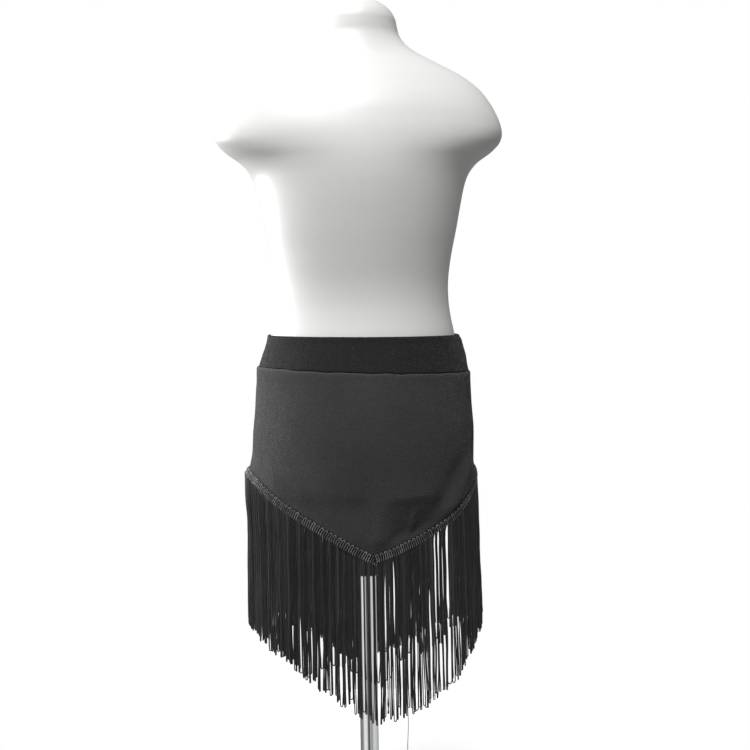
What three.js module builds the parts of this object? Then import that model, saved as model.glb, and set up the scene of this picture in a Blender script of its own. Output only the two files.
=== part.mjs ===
// A fringe mini skirt on a limbless dress form with a round stand.
//
// Frame, in millimetres: +Z up, origin in the middle of the stand's underside.
// -Y is the wearer's back, which is the side with the closure of such a costume,
// +Y is the wearer's front, and +X is to the right of someone looking at the back.
//
// The skirt is a stretch-knit tube of two panels with side seams, a doubled
// elastic waistband in two pieces, and one looped fringe trim sewn over a
// V-shaped hem. Each cloth piece is a wall. The rings of every piece come from
// the tables below: half widths and half depths against height.
import * as THREE from "three";

// ---------------------------------------------------------------- sizes
const CLOTH = 1.5; // wall of the skirt panels
const BAND = 2.5; // wall of the doubled waistband with its elastic
const SEAM = 0.3; // gap between two pieces at a seam
const HEADER_HEIGHT = 12.0; // woven header of the fringe trim, measured upright
const HEADER_THICK = 2.0;
const HEM_LAP = 9.0; // how far the panel runs down behind the header
const FRINGE_IN = 1.0; // fringe wall, inwards and outwards of the cloth's face
const FRINGE_OUT = 6.0;
const SPLAY_MINUS = 1.0; // how far the strands' ends stand out at each side
const SPLAY_PLUS = 5.0;

const WAIST_TOP = 756.0; // upper edge of the waistband
const WAIST_SEAM = 711.0; // seam between the band and the panels
const TOP_DROP = 0.013; // the worn skirt sits lower on +X: mm of drop per mm of X
const SEAM_DROP = 0.042;

const FORM_BOTTOM = 556.0; // flat underside of the torso
const PLATE_THICK = 10.0; // dark board under the torso
const SOCKET_R = 25.0;
const SOCKET_BORE_R = 13.0;
const SOCKET_LOW = 434.0;
const POLE_R = 12.5;
const FOOT_R = 150.0; // round foot of the stand
const FOOT_THICK = 8.0;
const BOSS_R = 19.0; // raised boss of the foot, which holds the pole
const BOSS_HEIGHT = 16.0;

// ---------------------------------------------------------------- tables
// Outer face of the skirt: z, half width, half depth at the back and at the
// front, and how far the ring is off centre in X.
const SKIRT = [
  { z: 474, a: 150.4, back: 114.0, front: 103.0, x: -4.2 },
  { z: 520, a: 150.4, back: 115.0, front: 103.5, x: -4.6 },
  { z: 556, a: 150.2, back: 116.2, front: 104.0, x: -4.4 },
  { z: 578, a: 149.8, back: 117.2, front: 104.2, x: -3.8 },
  { z: 600, a: 148.0, back: 118.0, front: 104.2, x: -1.9 },
  { z: 630, a: 146.6, back: 118.0, front: 103.8, x: -1.1 },
  { z: 660, a: 143.9, back: 115.0, front: 103.0, x: -0.7 },
  { z: 690, a: 142.4, back: 109.2, front: 102.0, x: -0.5 },
  { z: 711, a: 142.0, back: 104.4, front: 101.6, x: -1.0 },
  { z: 724, a: 140.0, back: 101.6, front: 101.0, x: -1.0 },
];
// Outer face of the waistband, which lies closer to the form.
const WAISTBAND = [
  { z: 700, a: 142.2, back: 105.0, front: 101.6, x: 0.0 },
  { z: 711, a: 139.4, back: 102.4, front: 100.4, x: 0.0 },
  { z: 726, a: 135.2, back: 97.8, front: 98.8, x: 0.1 },
  { z: 741, a: 130.4, back: 93.0, front: 97.2, x: 0.7 },
  { z: 756, a: 126.6, back: 88.8, front: 95.6, x: 1.0 },
  { z: 764, a: 125.0, back: 86.8, front: 94.8, x: 1.1 },
];
// Upper edge of the fringe header: degrees round from the centre line, and its
// height on the -X and the +X side. Back and front are cut alike.
const HEM = [
  { deg: 0, minus: 485, plus: 485 },
  { deg: 15, minus: 504, plus: 500 },
  { deg: 30, minus: 525, plus: 514 },
  { deg: 45, minus: 543, plus: 528 },
  { deg: 60, minus: 561, plus: 546 },
  { deg: 75, minus: 578, plus: 567 },
  { deg: 90, minus: 585, plus: 577 },
];
// Reach of the strands below the header, by degrees from the centre line. They
// are cut alike, but hang a little shorter or longer from place to place.
const STRANDS = [
  { deg: -90, back: 197, front: 187 },
  { deg: -75, back: 194, front: 179 },
  { deg: -60, back: 192, front: 177 },
  { deg: -45, back: 190, front: 178 },
  { deg: -30, back: 191, front: 186 },
  { deg: -15, back: 195, front: 196 },
  { deg: 0, back: 202, front: 203 },
  { deg: 15, back: 211, front: 200 },
  { deg: 30, back: 214, front: 191 },
  { deg: 45, back: 208, front: 186 },
  { deg: 60, back: 201, front: 184 },
  { deg: 75, back: 197, front: 187 },
  { deg: 90, back: 199, front: 191 },
];
// The largest soft folds of the free-hanging cloth below the form: side, degrees
// from the centre line, height, half sizes, slant (degrees per mm) and depth.
const FOLDS = [
  { side: "back", deg: 22, z: 522, wide: 4, high: 20, slant: 0.1, out: 1.4 },
  { side: "back", deg: 58, z: 556, wide: 6, high: 34, slant: 0.25, out: 1.8 },
  { side: "back", deg: 0, z: 556, wide: 42, high: 9, slant: 0.0, out: -1.2 },
  { side: "back", deg: -52, z: 572, wide: 7, high: 26, slant: -0.2, out: 1.2 },
  { side: "front", deg: -20, z: 520, wide: 5, high: 22, slant: -0.1, out: 1.4 },
  { side: "front", deg: 35, z: 545, wide: 6, high: 26, slant: 0.2, out: 1.6 },
  { side: "front", deg: 0, z: 556, wide: 40, high: 9, slant: 0.0, out: -1.0 },
];
// Dress form above and below the skirt: z, half width, half depths, and how far
// the ring is forward of the pole.
const FORM = [
  { z: 556, a: 132.0, back: 101.0, front: 90.0, y: 0 },
  { z: 562, a: 138.0, back: 107.0, front: 95.5, y: 0 },
  { z: 574, a: 141.4, back: 112.0, front: 99.5, y: 0 },
  { z: 590, a: 142.8, back: 114.4, front: 101.2, y: 0 },
  { z: 610, a: 143.4, back: 115.5, front: 101.3, y: 0 },
  { z: 632, a: 142.8, back: 115.3, front: 101.0, y: 0 },
  { z: 660, a: 140.4, back: 112.3, front: 100.3, y: 0 },
  { z: 690, a: 138.4, back: 106.4, front: 99.2, y: 0 },
  { z: 711, a: 135.4, back: 98.8, front: 96.8, y: 0 },
  { z: 726, a: 131.4, back: 94.2, front: 95.2, y: 0 },
  { z: 741, a: 126.2, back: 89.4, front: 93.6, y: 0 },
  { z: 758, a: 122.0, back: 84.8, front: 91.8, y: 0 },
  { z: 778, a: 117.8, back: 80.4, front: 89.4, y: 0 },
  { z: 800, a: 115.0, back: 78.0, front: 88.0, y: 0 },
  { z: 826, a: 114.8, back: 79.0, front: 90.0, y: 0 },
  { z: 858, a: 119.0, back: 84.0, front: 97.0, y: 0 },
  { z: 892, a: 126.0, back: 89.6, front: 106.4, y: 0 },
  { z: 926, a: 132.4, back: 94.2, front: 112.6, y: 0 },
  { z: 950, a: 137.6, back: 96.4, front: 111.6, y: 0 },
  { z: 966, a: 144.0, back: 97.0, front: 107.6, y: 0 },
  { z: 980, a: 155.6, back: 96.8, front: 102.4, y: 0 },
  { z: 993, a: 173.6, back: 95.8, front: 96.6, y: 0 },
  { z: 1005, a: 185.4, back: 94.2, front: 91.2, y: 0 },
  { z: 1017, a: 189.0, back: 92.0, front: 86.0, y: 0 },
  { z: 1030, a: 186.8, back: 88.8, front: 80.6, y: 0 },
  { z: 1044, a: 180.8, back: 84.6, front: 75.2, y: 0 },
  { z: 1060, a: 171.6, back: 78.8, front: 69.6, y: 1 },
  { z: 1076, a: 158.6, back: 72.2, front: 64.2, y: 3 },
  { z: 1091, a: 139.4, back: 65.6, front: 59.4, y: 5 },
  { z: 1104, a: 115.6, back: 59.6, front: 55.4, y: 7 },
  { z: 1115, a: 93.6, back: 55.2, front: 52.4, y: 9 },
  { z: 1125, a: 75.0, back: 52.0, front: 50.2, y: 10 },
  { z: 1135, a: 62.6, back: 49.6, front: 48.6, y: 11 },
  { z: 1145, a: 55.8, back: 48.2, front: 47.8, y: 12 },
  { z: 1156, a: 52.6, back: 47.4, front: 47.2, y: 12 },
  { z: 1167, a: 50.2, back: 46.0, front: 45.8, y: 12 },
  { z: 1177, a: 44.2, back: 41.4, front: 41.4, y: 12 },
  { z: 1185, a: 34.6, back: 33.2, front: 33.2, y: 12 },
  { z: 1190.5, a: 22.4, back: 21.8, front: 21.8, y: 12 },
  { z: 1193.2, a: 10.6, back: 10.4, front: 10.4, y: 12 },
];

// ---------------------------------------------------------------- helpers
const rad = THREE.MathUtils.degToRad;

// One column of a table at a height (or angle), by a smooth curve through its rows.
function column(table, key, at, name) {
  const last = table.length - 1;
  const t = THREE.MathUtils.clamp(at, table[0][key], table[last][key]);
  let i = 0;
  while (i < last - 1 && t > table[i + 1][key]) i++;
  const p = (k) => table[THREE.MathUtils.clamp(k, 0, last)];
  const slope = (k) => {
    const lo = p(k - 1);
    const hi = p(k + 1);
    return (hi[name] - lo[name]) / (hi[key] - lo[key]);
  };
  const h = p(i + 1)[key] - p(i)[key];
  const u = (t - p(i)[key]) / h;
  const u2 = u * u;
  const u3 = u2 * u;
  return (
    (2 * u3 - 3 * u2 + 1) * p(i)[name] +
    (u3 - 2 * u2 + u) * h * slope(i) +
    (3 * u2 - 2 * u3) * p(i + 1)[name] +
    (u3 - u2) * h * slope(i + 1)
  );
}

// Height of the header's upper edge at an angle from the centre line.
const hemTop = (deg) =>
  column(HEM, "deg", Math.abs(deg), deg < 0 ? "minus" : "plus");
const headerLow = (deg) => hemTop(deg) - HEADER_HEIGHT;

function foldOut(side, deg, z) {
  let out = 0;
  for (const f of FOLDS) {
    if (f.side !== side) continue;
    const u = (deg - f.deg - f.slant * (z - f.z)) / f.wide;
    const v = (z - f.z) / f.high;
    out += f.out * Math.exp(-(u * u + v * v));
  }
  return out;
}

// A point of a table's face, on one side, moved outwards along its normal.
function facePoint(table, side, deg, z, move) {
  const s = side === "back" ? -1 : 1;
  const a = column(table, "z", z, "a");
  const b = column(table, "z", z, side);
  const x0 = column(table, "z", z, "x");
  const t = rad(deg);
  const n = new THREE.Vector2(Math.sin(t) / a, (s * Math.cos(t)) / b).normalize();
  const fold = table === SKIRT ? foldOut(side, deg, z) : 0;
  return new THREE.Vector3(
    x0 + a * Math.sin(t) + n.x * (move + fold),
    s * b * Math.cos(t) + n.y * (move + fold),
    z,
  );
}

// A closed wall between two faces. point(deg, share, move) gives a face point.
function wall(point, { from, to, steps, rows, inner, outer }) {
  const across = steps + 1;
  const layer = across * (rows + 1);
  const positions = [];
  for (const move of [outer, inner])
    for (let j = 0; j <= rows; j++)
      for (let i = 0; i <= steps; i++)
        positions.push(
          ...point(from + ((to - from) * i) / steps, j / rows, move).toArray(),
        );
  const index = [];
  const quad = (a, b, c, d) => index.push(a, b, c, a, c, d);
  const at = (k, j, i) => k * layer + j * across + i;
  for (let j = 0; j < rows; j++)
    for (let i = 0; i < steps; i++) {
      quad(at(0, j, i), at(0, j, i + 1), at(0, j + 1, i + 1), at(0, j + 1, i));
      quad(at(1, j, i), at(1, j + 1, i), at(1, j + 1, i + 1), at(1, j, i + 1));
    }
  for (let i = 0; i < steps; i++) {
    quad(at(0, 0, i), at(1, 0, i), at(1, 0, i + 1), at(0, 0, i + 1));
    quad(at(0, rows, i), at(0, rows, i + 1), at(1, rows, i + 1), at(1, rows, i));
  }
  for (let j = 0; j < rows; j++) {
    quad(at(0, j, 0), at(0, j + 1, 0), at(1, j + 1, 0), at(1, j, 0));
    quad(at(0, j, steps), at(1, j, steps), at(1, j + 1, steps), at(0, j + 1, steps));
  }
  return geometryOf(positions, index);
}

function geometryOf(positions, index) {
  // A face that would look inwards is turned round as a whole.
  let volume = 0;
  const v = (k) => new THREE.Vector3().fromArray(positions, k * 3);
  for (let i = 0; i < index.length; i += 3)
    volume += v(index[i]).dot(v(index[i + 1]).cross(v(index[i + 2])));
  if (volume < 0)
    for (let i = 0; i < index.length; i += 3)
      [index[i + 1], index[i + 2]] = [index[i + 2], index[i + 1]];
  const geometry = new THREE.BufferGeometry();
  geometry.setAttribute("position", new THREE.Float32BufferAttribute(positions, 3));
  geometry.setIndex(index);
  geometry.computeVertexNormals();
  return geometry;
}

// A closed body through rings of the form's table, with a flat cap at each end.
function formLoft(heights, steps) {
  const positions = [];
  for (const z of heights)
    for (let i = 0; i < steps; i++) {
      const t = (2 * Math.PI * i) / steps;
      const b = column(FORM, "z", z, Math.sin(t) < 0 ? "back" : "front");
      positions.push(
        column(FORM, "z", z, "a") * Math.cos(t),
        column(FORM, "z", z, "y") + b * Math.sin(t),
        z,
      );
    }
  const index = [];
  for (let j = 0; j < heights.length - 1; j++)
    for (let i = 0; i < steps; i++) {
      const k = (i + 1) % steps;
      const [p, q] = [j * steps, (j + 1) * steps];
      index.push(p + i, p + k, q + k, p + i, q + k, q + i);
    }
  for (const [row, up] of [[0, false], [heights.length - 1, true]]) {
    const z = heights[row];
    const centre = positions.length / 3;
    positions.push(0, column(FORM, "z", z, "y"), z);
    for (let i = 0; i < steps; i++) {
      const k = (i + 1) % steps;
      const [p, q] = [row * steps + i, row * steps + k];
      index.push(...(up ? [centre, p, q] : [centre, q, p]));
    }
  }
  return geometryOf(positions, index);
}

// A turned piece from a closed profile of [radius, height] rows, axis along +Z.
function turned(profile, segments = 48) {
  const points = profile.map(([r, z]) => new THREE.Vector2(r, z));
  const geometry = new THREE.LatheGeometry(points, segments);
  geometry.rotateX(Math.PI / 2);
  return geometry;
}

// ---------------------------------------------------------------- materials
const finish = (color, roughness, metalness = 0) =>
  new THREE.MeshStandardMaterial({ color, roughness, metalness });
const blackKnit = finish(0x2b2b2c, 0.72);
const blackBand = finish(0x29292a, 0.7);
const braid = finish(0x3c3c3d, 0.45);
const rayon = finish(0x18181a, 0.42);
const whiteForm = finish(0xf1efec, 0.5);
const blackBoard = finish(0x161616, 0.5);
const chrome = finish(0xd0d2d4, 0.12, 1);

// ---------------------------------------------------------------- the object
const part = new THREE.Group();
part.name = "fringe_mini_skirt_on_dress_form";

function add(parent, name, geometry, material) {
  const mesh = new THREE.Mesh(geometry, material);
  mesh.name = name;
  parent.add(mesh);
  return mesh;
}

const skirt = new THREE.Group();
part.add(skirt);

// Half the seam gap, as an angle at the side.
const sideGap = THREE.MathUtils.radToDeg(SEAM / 2 / 105);

for (const side of ["back", "front"]) {
  const span = { from: -90 + sideGap, to: 90 - sideGap };
  const seamZ = (x) => WAIST_SEAM - SEAM_DROP * x;
  const topZ = (x) => WAIST_TOP - TOP_DROP * x;
  const between = (table, low, high) => (deg, share, move) =>
    facePoint(table, side, deg, THREE.MathUtils.lerp(low(deg), high(deg), share), move);
  const xOf = (deg) => 140 * Math.sin(rad(deg));

  add(
    skirt,
    `waistband_${side}`,
    wall(
      between(WAISTBAND, (d) => seamZ(xOf(d)) + SEAM, (d) => topZ(xOf(d))),
      { ...span, steps: 28, rows: 3, inner: -BAND, outer: 0 },
    ),
    blackBand,
  );
  add(
    skirt,
    `skirt_${side}`,
    wall(
      between(SKIRT, (d) => hemTop(d) - HEM_LAP, (d) => seamZ(xOf(d))),
      { ...span, steps: 32, rows: 9, inner: -CLOTH, outer: 0 },
    ),
    blackKnit,
  );
  add(
    skirt,
    `trim_header_${side}`,
    wall(between(SKIRT, headerLow, hemTop), {
      ...span,
      steps: 36,
      rows: 1,
      inner: SEAM,
      outer: SEAM + HEADER_THICK,
    }),
    braid,
  );
  // The strands hang plumb from the header, so every row of the fringe has the
  // header's own plan, apart from a slight splay at the sides.
  add(
    skirt,
    `fringe_${side}`,
    wall(
      (deg, share, move) => {
        const top = headerLow(deg) - SEAM;
        const p = facePoint(SKIRT, side, deg, headerLow(deg), move);
        const sine = Math.sin(rad(deg));
        p.x += (1 - share) * sine * Math.abs(sine) * (sine < 0 ? SPLAY_MINUS : SPLAY_PLUS);
        return p.setZ(top - column(STRANDS, "deg", deg, side) * (1 - share));
      },
      { ...span, steps: 32, rows: 2, inner: -FRINGE_IN, outer: FRINGE_OUT },
    ),
    rayon,
  );
}

// The dress form: a smooth limbless torso with short shoulder caps and a domed neck.
const stand = new THREE.Group();
part.add(stand);
const heights = FORM.map((row) => row.z);
add(stand, "form_torso", formLoft(heights, 48), whiteForm);

// The board under the torso follows the torso's lowest ring.
const plate = new THREE.Shape();
const low = FORM[0];
plate.absellipse(0, 0, low.a - 2, low.front - 2, 0, Math.PI, false, 0);
plate.absellipse(0, 0, low.a - 2, low.back - 2, Math.PI, 2 * Math.PI, false, 0);
const plateGeometry = new THREE.ExtrudeGeometry(plate, {
  depth: PLATE_THICK,
  bevelEnabled: false,
  curveSegments: 24,
});
const plateLow = FORM_BOTTOM - SEAM - PLATE_THICK;
add(stand, "form_base_plate", plateGeometry, blackBoard).position.z = plateLow;

const socketHigh = plateLow - SEAM;
add(
  stand,
  "pole_socket",
  turned([
    [SOCKET_BORE_R, SOCKET_LOW],
    [SOCKET_R - 2, SOCKET_LOW],
    [SOCKET_R, SOCKET_LOW + 2],
    [SOCKET_R, socketHigh - 6],
    [SOCKET_R + 13, socketHigh - 4],
    [SOCKET_R + 13, socketHigh],
    [SOCKET_BORE_R, socketHigh],
    [SOCKET_BORE_R, SOCKET_LOW],
  ]),
  blackBoard,
);
const poleLow = FOOT_THICK + 2;
add(
  stand,
  "pole",
  turned(
    [
      [0, poleLow + SEAM],
      [POLE_R, poleLow + SEAM],
      [POLE_R, socketHigh - 4],
      [0, socketHigh - 4],
    ],
    40,
  ),
  chrome,
);
add(
  stand,
  "stand_foot",
  turned(
    [
      [0, 0],
      [FOOT_R - 1.5, 0],
      [FOOT_R, 1.5],
      [FOOT_R, FOOT_THICK - 3],
      [FOOT_R - 3, FOOT_THICK - 0.6],
      [FOOT_R - 8, FOOT_THICK],
      [BOSS_R + 3, FOOT_THICK],
      [BOSS_R, FOOT_THICK + 1.5],
      [BOSS_R - 1, FOOT_THICK + BOSS_HEIGHT - 1.5],
      [BOSS_R - 2.5, FOOT_THICK + BOSS_HEIGHT],
      [POLE_R + SEAM, FOOT_THICK + BOSS_HEIGHT],
      [POLE_R + SEAM, poleLow],
      [0, poleLow],
    ],
    64,
  ),
  chrome,
);

export default part;
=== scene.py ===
import math

import bpy
import numpy as np
from mathutils import Matrix, Vector


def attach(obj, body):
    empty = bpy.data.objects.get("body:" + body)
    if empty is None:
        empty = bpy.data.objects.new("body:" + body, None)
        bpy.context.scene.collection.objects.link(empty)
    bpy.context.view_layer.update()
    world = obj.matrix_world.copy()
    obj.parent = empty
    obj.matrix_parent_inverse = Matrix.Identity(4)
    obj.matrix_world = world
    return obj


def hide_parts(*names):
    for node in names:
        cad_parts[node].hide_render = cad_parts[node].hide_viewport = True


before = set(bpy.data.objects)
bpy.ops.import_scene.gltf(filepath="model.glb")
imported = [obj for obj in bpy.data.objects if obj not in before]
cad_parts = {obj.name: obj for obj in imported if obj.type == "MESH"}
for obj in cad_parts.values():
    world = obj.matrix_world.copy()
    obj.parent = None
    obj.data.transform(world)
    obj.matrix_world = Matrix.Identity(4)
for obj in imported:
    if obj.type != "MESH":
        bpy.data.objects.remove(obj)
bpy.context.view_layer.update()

MM = 0.001

# ------------------------------------------------------------------ tables
# Millimetres, in the CAD's frame: the same sections as the CAD solids.
# z, half width, half depth at the back, half depth at the front, off centre in X
SKIRT = np.array([
    (474, 150.4, 114.0, 103.0, -4.2),
    (520, 150.4, 115.0, 103.5, -4.6),
    (556, 150.2, 116.2, 104.0, -4.4),
    (578, 149.8, 117.2, 104.2, -3.8),
    (600, 148.0, 118.0, 104.2, -1.9),
    (630, 146.6, 118.0, 103.8, -1.1),
    (660, 143.9, 115.0, 103.0, -0.7),
    (690, 142.4, 109.2, 102.0, -0.5),
    (711, 142.0, 104.4, 101.6, -1.0),
    (724, 140.0, 101.6, 101.0, -1.0),
], float)
BAND = np.array([
    (700, 142.2, 105.0, 101.6, 0.0),
    (711, 139.4, 102.4, 100.4, 0.0),
    (726, 135.2, 97.8, 98.8, 0.1),
    (741, 130.4, 93.0, 97.2, 0.7),
    (756, 126.6, 88.8, 95.6, 1.0),
    (764, 125.0, 86.8, 94.8, 1.1),
], float)
# degrees from the centre line, header's upper edge on -X, and on +X
HEM = np.array([
    (0, 485.5, 485.5), (15, 508.2, 494.5), (30, 530.4, 507), (45, 549.6, 525.5),
    (60, 566.5, 548), (75, 580, 568), (90, 585, 577),
], float)
# degrees, reach of the strands at the back, and at the front
STRANDS = np.array([
    (-90, 197, 187), (-75, 194, 181), (-60, 193.5, 182.5), (-45, 193.5, 184.5),
    (-30, 195.5, 191.5), (-15, 199, 200), (0, 202.5, 203.5), (15, 209.5, 196.5),
    (30, 217, 187), (45, 207.5, 184.5), (60, 199, 186), (75, 195, 188), (90, 198, 191),
], float)
# z, half width, half depth at the back, at the front, and forward of the pole
FORM = np.array([
    (556, 132.0, 101.0, 90.0, 0), (562, 138.0, 107.0, 95.5, 0), (574, 141.4, 112.0, 99.5, 0),
    (590, 142.8, 114.4, 101.2, 0), (610, 143.4, 115.5, 101.3, 0), (632, 142.8, 115.3, 101.0, 0),
    (660, 140.4, 112.3, 100.3, 0), (690, 138.4, 106.4, 99.2, 0), (711, 135.4, 98.8, 96.8, 0),
    (726, 131.4, 94.2, 95.2, 0), (741, 126.2, 89.4, 93.6, 0), (758, 122.0, 84.8, 91.8, 0),
    (778, 117.8, 80.4, 89.4, 0), (800, 115.0, 78.0, 88.0, 0), (826, 114.8, 79.0, 90.0, 0),
    (858, 119.0, 84.0, 97.0, 0), (892, 126.0, 89.6, 106.4, 0), (926, 132.4, 94.2, 112.6, 0),
    (950, 137.6, 96.4, 111.6, 0), (966, 144.0, 97.0, 107.6, 0), (980, 155.6, 96.8, 102.4, 0),
    (993, 173.6, 95.8, 96.6, 0), (1005, 185.4, 94.2, 91.2, 0), (1017, 189.0, 92.0, 86.0, 0),
    (1030, 186.8, 88.8, 80.6, 0), (1044, 180.8, 84.6, 75.2, 0), (1060, 171.6, 78.8, 69.6, 1),
    (1076, 158.6, 72.2, 64.2, 3), (1091, 139.4, 65.6, 59.4, 5), (1104, 115.6, 59.6, 55.4, 7),
    (1115, 93.6, 55.2, 52.4, 9), (1125, 75.0, 52.0, 50.2, 10), (1135, 62.6, 49.6, 48.6, 11),
    (1145, 55.8, 48.2, 47.8, 12), (1156, 52.6, 47.4, 47.2, 12), (1167, 50.2, 46.0, 45.8, 12),
    (1177, 44.2, 41.4, 41.4, 12), (1185, 34.6, 33.2, 33.2, 12), (1190.5, 22.4, 21.8, 21.8, 12),
    (1193.2, 10.6, 10.4, 10.4, 12),
], float)

WAIST_SEAM, SEAM_DROP = 711.0, 0.042
WAIST_TOP, TOP_DROP = 756.0, 0.013
HEADER = 12.0          # upright height of the fringe header
HEADER_WIDE = 9.5      # its true width, across the braid
HEM_LAP = 9.0
CLOTH = 1.3
RIB = 3.0              # pitch of the braid's ribs, one loop of fringe each
SIDE_GAP = math.degrees(0.15 / 105)

# Creases: side, degrees, z, half sizes (degrees, mm), slant in
# degrees per mm of height, and how far they stand out (or in).
CREASES = [
    ("back", 22.4, 521, 1.7, 15, 0.05, 2.6),
    ("back", 25.8, 518, 1.6, 13, 0.05, -1.5),
    ("back", 19.2, 515, 1.6, 10, 0.04, -1.4),
    ("back", 52.0, 560, 4.0, 34, 0.34, 1.1),
    ("back", 60.0, 563, 3.0, 24, 0.32, -0.8),
    ("back", 48.0, 541, 1.5, 11, 0.25, 0.9),
    ("back", 47.0, 640, 3.2, 55, -0.03, 0.55),
    ("back", 53.0, 650, 3.0, 50, -0.03, -0.35),
    ("back", -52.0, 574, 5.0, 22, -0.22, 1.2),
    ("back", -61.0, 588, 3.4, 18, -0.22, -0.5),
    ("back", -22.0, 530, 7.0, 10, -0.30, 0.6),
    ("back", 6.0, 508, 6.0, 7, 0.20, 0.5),
    ("front", -20.0, 520, 2.4, 18, -0.06, 1.4),
    ("front", -24.5, 517, 1.8, 14, -0.06, -0.8),
    ("front", 35.0, 543, 3.6, 26, 0.20, 1.6),
    ("front", 42.0, 549, 2.6, 20, 0.20, -0.9),
    ("front", -55.0, 565, 4.2, 26, -0.28, 1.5),
    ("front", 64.0, 566, 3.0, 18, 0.26, 0.9),
    ("front", -38.0, 640, 4.0, 44, 0.04, 0.5),
    ("front", 12.0, 512, 4.0, 8, 0.20, 0.6),
]
# Openings between the strands: side, degrees, half width in mm, and the depths
# below the header at which one begins and is full.
GAPS = [
    ("back", -58.0, 0.6, 110, 150), ("back", -49.5, 0.6, 110, 150), ("back", -41.0, 0.8, 104, 136), ("back", -36.5, 0.8, 104, 140),
    ("back", -30.5, 0.9, 100, 130), ("back", -25.2, 1.3, 100, 130), ("back", -19.3, 1.1, 100, 130),
    ("back", -15.8, 1.5, 90, 120), ("back", -13.2, 1.0, 90, 130), ("back", -10.6, 1.0, 90, 130), ("back", -8.1, 0.8, 90, 130),
    ("back", -4.9, 1.7, 1, 8), ("back", -3.2, 1.7, 1, 8), ("back", -0.7, 1.8, 1, 8), ("back", 1.6, 1.8, 1, 8),
    ("back", 6.0, 0.8, 10, 50), ("back", 7.9, 1.0, 8, 40), ("back", 9.9, 1.4, 0, 16), ("back", 13.7, 1.2, 90, 130), ("back", 17.6, 1.0, 90, 130),
    ("back", 21.4, 1.2, 95, 130), ("back", 29.9, 1.3, 40, 85),
    ("back", 33.7, 1.6, 0, 8), ("back", 35.7, 1.8, 0, 8), ("back", 38.0, 1.0, 8, 30), ("back", 41.3, 2.5, 0, 9), ("back", 43.6, 0.9, 70, 110),
    ("back", 47.6, 0.9, 100, 140), ("back", 56.0, 0.6, 110, 150),
    ("front", 20.7, 1.9, 0, 16), ("front", 18.3, 1.2, 6, 40), ("front", 15.6, 0.8, 10, 50), ("front", 46.6, 1.7, -2, 6), ("front", 49.0, 1.8, -2, 6),
    ("front", 51.8, 1.1, 8, 30), ("front", 55.0, 2.8, -2, 7), ("front", 58.8, 1.0, 70, 110),
    ("front", 30.0, 1.4, 100, 140), ("front", 35.5, 1.6, 130, 160), ("front", 42.0, 1.6, 50, 95), ("front", 65.5, 1.2, 60, 110),
    ("front", -33.0, 0.8, 130, 160), ("front", 2.0, 0.9, 130, 160), ("front", -18.0, 0.8, 130, 160),
]
# The braid's roll in degrees (above 0, its upper edge lifts off the cloth) and how far
# the hem stands out from the section there, in mm, at the back and at the front.
ROLL = {
    "back": np.array([(-90, -25), (-76, -30), (-62, -21), (-50, -8), (-36, -1), (0, 0), (40, 1), (55, 6), (68, 5), (80, -9), (90, -22)], float),
    "front": np.array([(-90, -34), (-72, -20), (-54, -6), (-20, 0), (20, 0), (50, 3), (70, -2), (90, -13)], float),
}
HEM_OUT = {
    "back": np.array([(-90, 2.6), (-76, 2.6), (-62, 1.4), (-48, 0.4), (-32, 0), (-14, -0.2), (0, -2.4), (10, -8.2), (19, -13), (28, -13.2), (36, -9.6), (45, -2.6), (56, 1), (68, 2), (80, 2.5), (90, 2.5)], float),
    "front": np.array([(-90, 1.9), (-72, 1.6), (-50, 0.5), (-30, 0), (0, 0), (30, 0), (50, 0.4), (70, 1.9), (90, 3.3)], float),
}


# ------------------------------------------------------------------ helpers
def column(table, at, k):
    """One column of a table at the values of its first column, by a smooth curve through its rows."""
    x, y = table[:, 0], table[:, k]
    n = len(x)
    at = np.clip(np.asarray(at, float), x[0], x[-1])
    lo, hi = np.maximum(np.arange(n) - 1, 0), np.minimum(np.arange(n) + 1, n - 1)
    slope = (y[hi] - y[lo]) / (x[hi] - x[lo])
    i = np.clip(np.searchsorted(x, at, side="right") - 1, 0, n - 2)
    h = x[i + 1] - x[i]
    u = (at - x[i]) / h
    return (
        (2 * u**3 - 3 * u**2 + 1) * y[i] + (u**3 - 2 * u**2 + u) * h * slope[i]
        + (3 * u**2 - 2 * u**3) * y[i + 1] + (u**3 - u**2) * h * slope[i + 1]
    )


def smooth(x, a, b):
    u = np.clip((np.asarray(x, float) - a) / (b - a), 0, 1)
    return u * u * (3 - 2 * u)


def ripple(seed, u, v=0.0, terms=7):
    """A soft uneven wave, about -1 to 1, over one or two lengths given in wavelengths."""
    rng = np.random.default_rng(seed)
    out = 0.0
    for _ in range(terms):
        f, g = rng.uniform(0.45, 1.9), rng.uniform(0.35, 1.5) * rng.choice([-1, 1])
        out = out + rng.uniform(0.5, 1.0) * np.sin(2 * np.pi * (f * u + g * v) + rng.uniform(0, 2 * np.pi))
    return out / math.sqrt(terms)


def hem_top(deg):
    deg = np.asarray(deg, float)
    return np.where(deg < 0, column(HEM, np.abs(deg), 1), column(HEM, np.abs(deg), 2))


def hem_out(side, deg):
    return column(HEM_OUT[side], deg, 1)


def roll_of(side, deg):
    return np.radians(column(ROLL[side], deg, 1))


def plan(table, side, deg, z):
    """(x, y, nx, ny): a point of a section and the outward direction there."""
    s = -1.0 if side == "back" else 1.0
    a, b, x0 = column(table, z, 1), column(table, z, 2 if side == "back" else 3), column(table, z, 4)
    t = np.radians(deg)
    nx, ny = np.sin(t) / a, s * np.cos(t) / b
    length = np.hypot(nx, ny)
    return x0 + a * np.sin(t), s * b * np.cos(t), nx / length, ny / length


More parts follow.
